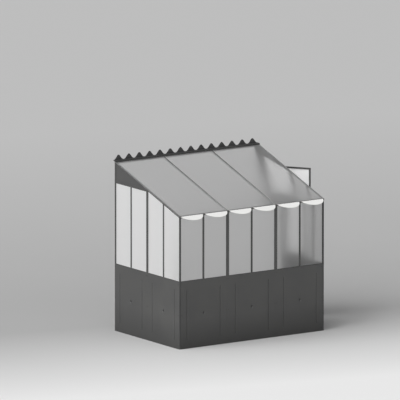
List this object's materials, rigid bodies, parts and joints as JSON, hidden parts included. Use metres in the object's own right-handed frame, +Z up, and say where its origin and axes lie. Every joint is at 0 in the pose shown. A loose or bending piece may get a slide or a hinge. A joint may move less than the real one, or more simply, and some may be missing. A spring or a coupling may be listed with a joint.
{
  "type": "lean-to greenhouse",
  "caption": "Lean-to greenhouse with steel base panels, frosted glass walls, a scalloped glass roof edge, a wall crest and a hinged side door.",
  "frame": {"origin": "the middle of the house wall's foot: on the ground, in the wall plane, centred between the two sides", "axes": "+X to the right along the front as seen from outside, +Y from the front towards the house wall, +Z up"},
  "size_m": [2.8731, 1.7634, 2.4588],
  "materials": {
    "frame_paint": "satin",
    "crest_paint": "satin",
    "frosted_glass": "frosted",
    "fittings": "satin"
  },
  "bodies": {
    "frame": {"front_base_panel_1": "frame_paint", "front_base_panel_2": "frame_paint", "front_base_panel_3": "frame_paint", "left_base_panel_1": "frame_paint", "left_base_panel_2": "frame_paint", "right_base_panel": "frame_paint", "corner_post_left": "frame_paint", "corner_post_right": "frame_paint", "wall_post_left": "frame_paint", "wall_post_right": "frame_paint", "wall_angle_left": "frame_paint", "wall_angle_right": "frame_paint", "front_mullions": "frame_paint", "front_bars": "frame_paint", "left_mullion": "frame_paint", "left_bars": "frame_paint", "right_mullion": "frame_paint", "right_bar": "frame_paint", "eave_rail": "frame_paint", "eave_stops": "frame_paint", "rake_left": "frame_paint", "rake_right": "frame_paint", "rafters": "frame_paint", "ridge_rail": "frame_paint", "ridge_crest": "crest_paint", "gable_plate_left": "frame_paint", "gable_plate_right": "frame_paint", "header_left": "frame_paint", "door_header": "frame_paint", "door_threshold": "frame_paint", "back_ground_rail": "frame_paint", "front_glass_1": "frosted_glass", "front_glass_2": "frosted_glass", "front_glass_3": "frosted_glass", "left_glass_1": "frosted_glass", "left_glass_2": "frosted_glass", "right_glass": "frosted_glass", "roof_glass_1": "frosted_glass", "roof_glass_2": "frosted_glass", "roof_glass_3": "frosted_glass", "post_hinges": "fittings"},
    "door": {"door_frame": "frame_paint", "door_panel": "frame_paint", "door_glass": "frosted_glass", "door_hinges": "fittings", "door_handle": "fittings"}
  },
  "joints": [
    {"name": "door_swing", "type": "hinge", "parent": "frame", "child": "door", "pos_m": [1.208, -0.062, 1], "axis": [0, 0, 1], "range_deg": [-36, 54]}
  ]
}
